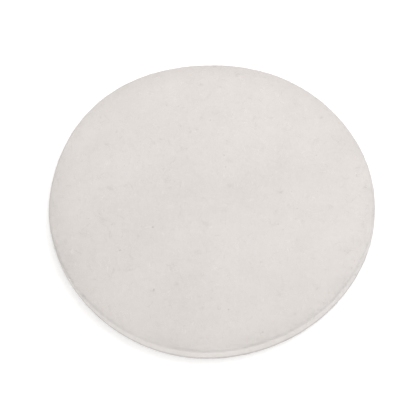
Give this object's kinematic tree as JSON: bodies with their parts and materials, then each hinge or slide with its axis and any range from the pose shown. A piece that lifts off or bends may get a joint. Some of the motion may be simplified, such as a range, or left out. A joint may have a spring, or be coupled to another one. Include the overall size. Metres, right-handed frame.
{
  "type": "felt polishing disc",
  "caption": "Round flat pad of pressed wool felt with a soft-edged polishing face, backed by double-sided adhesive film under a split release liner, for sticking to a flat lapidary lap plate.",
  "frame": {"origin": "centre of the lowest face, which is the underside of the release liner", "axes": "+Z along the disc's axis, out of the polishing face; X across the slit between the liner halves; Y along the slit"},
  "size_m": [0.1524, 0.1524, 0.0096],
  "materials": {
    "wool_felt": "pressed undyed wool, matt, faintly mottled, fibres matted all over, a few darker hairs and bits of straw",
    "adhesive": "clear acrylic adhesive, faintly milky, tacky, semi-gloss",
    "film": "clear polyester film, slightly hazy",
    "liner_paper": "silicone-coated release paper, smooth satin on the adhesive side, faint paper grain outside"
  },
  "bodies": {
    "pad": {"felt_disc": "wool_felt", "felt_adhesive": "adhesive", "carrier_film": "film", "plate_adhesive": "adhesive"},
    "liner_half_left": {"liner_left": "liner_paper"},
    "liner_half_right": {"liner_right": "liner_paper"}
  },
  "joints": [
    {"name": "liner_left_peel", "type": "slide", "parent": "pad", "child": "liner_half_left", "axis": [-1, 0, 0], "range_m": [0, 0.085]},
    {"name": "liner_right_peel", "type": "slide", "parent": "pad", "child": "liner_half_right", "axis": [1, 0, 0], "range_m": [0, 0.085]}
  ]
}
